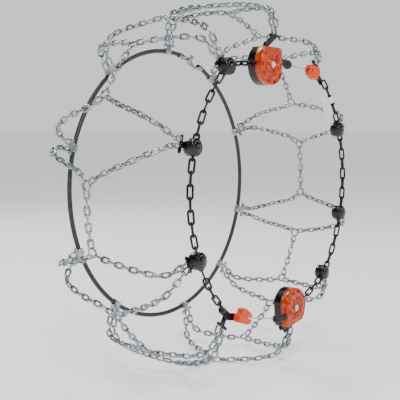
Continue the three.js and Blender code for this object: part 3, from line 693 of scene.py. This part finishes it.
def reel_edge(angle):
    """How far the reel's outline is from its axle at an angle: round, with a flat side and top."""
    c, s = math.cos(angle), math.sin(angle)
    turn = (angle + math.pi) % (2 * math.pi) - math.pi
    if not -math.acos(FLAT_SIDE / REEL_ROUND) < turn < math.pi - math.asin(FLAT_TOP / REEL_ROUND):
        return REEL_ROUND
    reach = min(FLAT_SIDE / c if c > 0.01 else 99, FLAT_TOP / s if s > 0.01 else 99)
    x, y = FLAT_SIDE - CORNER, FLAT_TOP - CORNER
    if reach * c > x and reach * s > y:
        along = x * c + y * s
        reach = along + (CORNER ** 2 - (x * x + y * y - along * along)) ** 0.5
    return reach


def cover_relief(share, angle):
    """Depth of the cover's face below its top: a boss, a moat with spokes, a raised band and a rounded rim."""
    radius = share * REEL_ROUND
    spoke = math.cos(9 * angle)
    depth = 0.0
    if 9.2 < radius < 12.4:
        depth = 2.3
    elif 13.6 < radius < 20:
        depth = 1.9 if spoke < 0.45 else 0.2
    elif 21.6 < radius < 23.4:
        depth = 0.0
    elif radius >= 21.6:
        depth = 1.1
    if 27.4 < radius < 32 and math.sin(angle) < 0.1 and math.cos(10 * angle + 0.6) > -0.2:
        depth = 6.0
    elif 27.4 < radius < 32 and math.cos(5 * angle + 0.6) > 0.8:
        depth = 2.6
    if share > 0.93:
        depth = 1.1 + 2.4 * ((share - 0.93) / 0.07) ** 2
    return depth


def cover_height(share, angle):
    """Height of the cover's face. Over the spool a pocket stays shallower than the cover's wall."""
    limit = COVER_WALL - 0.6 if share * reel_edge(angle) < CAVITY + 1 else REEL_DEPTH
    return REEL_DEPTH - min(cover_relief(share, angle), limit)


def closed_skin(section, place, around):
    """Vertices and faces of a closed skin round an axle, from its (radius, height) loop at each angle."""
    vertices, faces = [], []
    for k in range(around):
        a = 2 * math.pi * k / around
        loop = section(a)
        vertices += [place @ (Vector((radius * math.cos(a), radius * math.sin(a), height)) * MM)
                     for radius, height in loop]
        size = len(loop)
        for i in range(size):
            j, after = (i + 1) % size, (k + 1) % around * size
            faces.append((k * size + i, after + i, after + j, k * size + j))
    return vertices, faces


def cover_section(angle):
    """The hollow for the spool, the cover's rim and its face, inwards to the bore."""
    edge = reel_edge(angle)
    bore = AXLE_HEAD + GAP + 2
    low = HOUSING_DEPTH + GAP
    shares = [0.29 + 0.71 * i / 44 for i in range(45)]
    loop = [(AXLE_RADIUS + GAP, REEL_DEPTH - COVER_WALL), (AXLE_RADIUS + GAP, REEL_DEPTH - 1.1),
            (bore, REEL_DEPTH - 1.1)]
    loop += [(share * edge, cover_height(share, angle)) for share in shares]
    loop += [(edge, REEL_DEPTH - 5), (edge, low + 3.4), (edge - 0.7, low + 2.8), (edge - 0.7, low + 2),
             (edge, low + 1.4), (edge, low), (CAVITY, low), (CAVITY, REEL_DEPTH - COVER_WALL)]
    return loop[::-1]


def housing_section(angle):
    """The outer skin of the back housing's wall, thin enough to leave the pawl's pocket behind it open."""
    edge = reel_edge(angle)
    inner = edge - HOUSING_SKIN
    return [(inner, 0), (edge, 0), (edge, HOUSING_DEPTH), (inner, HOUSING_DEPTH)]


for reel in REELS:
    name = reel["name"]
    corner = reel_point(reel, 0, 0, 0)
    reel_frame = facing_out(corner) @ Matrix.Rotation(math.radians(reel["turn"]), 4, "Z")

    wall = closed_skin(housing_section, reel_frame, 120)
    rings = [tube([reel_frame @ (Vector((radius * math.cos(a), radius * math.sin(a), 0)) * MM)
                   for a in (2 * math.pi * i / 90 for i in range(90))], 0.7 * MM, 10, True)
             for radius in BACK_RINGS]
    back = tumbled(f"{name}_back_moulded", [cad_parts[f"{name}_back_housing"].data], black_nylon, 0.5,
                   4, [wall, *rings])
    # The cover's darker red patches include painted shade for its relief, laid at random over the face.
    cover = joined(f"{name}_cover_moulded", [closed_skin(cover_section, reel_frame, 270)], orange_shell_with_painted_shade)
    screws = []
    for degrees in SCREW_ANGLES:
        a = math.radians(degrees)
        spot = Matrix.Translation(Vector((SCREW_CIRCLE * math.cos(a), SCREW_CIRCLE * math.sin(a), 0)) * MM)
        screws.append(turned(SCREW, reel_frame @ spot @ Matrix.Rotation(math.pi, 4, "X"), 20))
    screws = joined(f"{name}_back_screws", screws, turned_steel)
    rivet = joined(f"{name}_axle_rivet", [turned(RIVET, reel_frame)], turned_steel)

    # The nozzle points back to where the cable leaves the spool, at a tangent.
    nozzle, head, heading = cable_line(reel)
    wound = SPOOL_CORE + GAP + CABLE_RADIUS
    leave = math.atan2(NOZZLE[1], NOZZLE[0]) + math.acos(wound / math.hypot(NOZZLE[0], NOZZLE[1]))
    leaves = reel_point(reel, wound * math.cos(leave), wound * math.sin(leave), NOZZLE[2])
    inward = (leaves - nozzle).normalized()
    turn = (-inward).to_track_quat("Z", "Y").to_matrix().to_4x4()
    boot = joined(f"{name}_nozzle_boot", [turned(BOOT, facing_out(nozzle) @ turn)], nozzle_rubber)

    # The cable: six strands laid together, from inside the nozzle to the barrel in the hook.
    start = nozzle + inward * 22
    line = [start.lerp(nozzle, i / 12) for i in range(12)]
    end = head - heading * (BARREL_RADIUS + GAP)
    line += [nozzle.lerp(end, i / 60) for i in range(61)]
    rope = joined(f"{name}_cable_strand", [tube([on_wheel(*p) for p in line], CABLE_RADIUS * MM, 24, lobes=6,
                                                lobe_depth=0.16, twist=0.35)], wire_strand)

    # The hook, soft at its edges, with a raised ring on its round head that is open at the cable's slot.
    hook_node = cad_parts[f"{name}_hook"].data
    face = -min(v.co.y for v in hook_node.vertices) / MM
    across = Vector((-heading.y, heading.x, 0))
    ring_line = []
    for i in range(41):
        a = math.radians(-152 + 304 * i / 40)
        spot = head + (heading * math.cos(a) + across * math.sin(a)) * HOOK_RING_RADIUS
        ring_line.append(on_wheel(spot.x, spot.y, face))
    hook = tumbled(f"{name}_hook_moulded", [hook_node], coral_shell, 0.45, 45, [tube(ring_line, 1.5 * MM, 12)])

    made = [(back, "back_housing", "black_housing", "chain_set"),
            (cover, "front_cover", "orange_cover", "chain_set"),
            (screws, None, "polished_steel", "chain_set"),
            (rivet, "axle", "polished_steel", "chain_set"),
            (boot, "nozzle", "nozzle_rubber", "chain_set"),
            (rope, "cable", "steel_cable", f"{name}_cable_end"),
            (hook, "hook", "orange_hook", f"{name}_hook")]
    for piece, node, finish, body in made:
        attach(piece, body)
        if node:
            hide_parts(f"{name}_{node}")
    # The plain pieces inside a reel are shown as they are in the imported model.
    kept = {"spool": grey_nylon, "spiral_spring": blued_steel, "lock_pawl": blued_steel,
            "pawl_pin": turned_steel, "barrel": turned_steel}
    for node, finish in kept.items():
        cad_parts[f"{name}_{node}"].data.materials[0] = finish

# ---- Floor and light ----
# A pale floor that glows a little, so that shadows on it stay soft. Four large soft lights stand round the
# chain, under a studio sky that is pale, dark and pale again.
FLOOR_HALF = 40
FLOOR_HEIGHT = -0.3265
floor_paint = bpy.data.materials.new("studio_floor")
floor_paint.use_nodes = True
paint = floor_paint.node_tree.nodes["Principled BSDF"].inputs
paint["Base Color"].default_value = linear("#f4f4f4")
paint["Roughness"].default_value = 0.6
paint["Emission Color"].default_value = linear("#ffffff")
paint["Emission Strength"].default_value = 0.42
corners = [(x * FLOOR_HALF, y * FLOOR_HALF, FLOOR_HEIGHT) for x, y in ((-1, -1), (1, -1), (1, 1), (-1, 1))]
floor = new_object("floor", mesh_from("floor", corners, [], [(0, 1, 2, 3)]))
floor.data.materials.append(floor_paint)


def softbox(name, position, size, watts):
    light = bpy.data.lights.new(name, "AREA")
    light.shape = "SQUARE"
    light.size = size
    light.energy = watts
    made = bpy.data.objects.new(name, light)
    made.location = position
    made.rotation_euler = (-Vector(position)).to_track_quat("-Z", "Y").to_euler()
    bpy.context.scene.collection.objects.link(made)


softbox("key", (-1.5, -1.3, 1.9), 0.7, 55)
softbox("fill", (1.3, -2.0, 0.7), 0.6, 10)
softbox("back", (0.7, 1.9, 1.7), 0.8, 35)
softbox("top", (0.0, 0.0, 2.6), 1.0, 15)
world = bpy.data.worlds.new("studio")
world.use_nodes = True
tree = world.node_tree
tree.nodes.clear()
# Pale at the horizon, as the floor is, with a dark band above it for bright metal to reflect.
direction = add(tree, "ShaderNodeTexCoord").outputs["Generated"]
height = add(tree, "ShaderNodeSeparateXYZ", {"Vector": direction}).outputs["Z"]
bands = add(tree, "ShaderNodeValToRGB", {"Fac": height})
for place, level in ((0.22, 0.95), (0.45, 0.04), (0.75, 0.04), (0.9, 1.0)):
    stop = bands.color_ramp.elements.new(place)
    stop.color = (level, level, level, 1)
bands.color_ramp.elements[0].color = (0.95, 0.95, 0.95, 1)
glow = add(tree, "ShaderNodeBackground", {"Color": bands.outputs["Color"]})
add(tree, "ShaderNodeOutputWorld", {"Surface": glow.outputs["Background"]})
bpy.context.scene.world = world
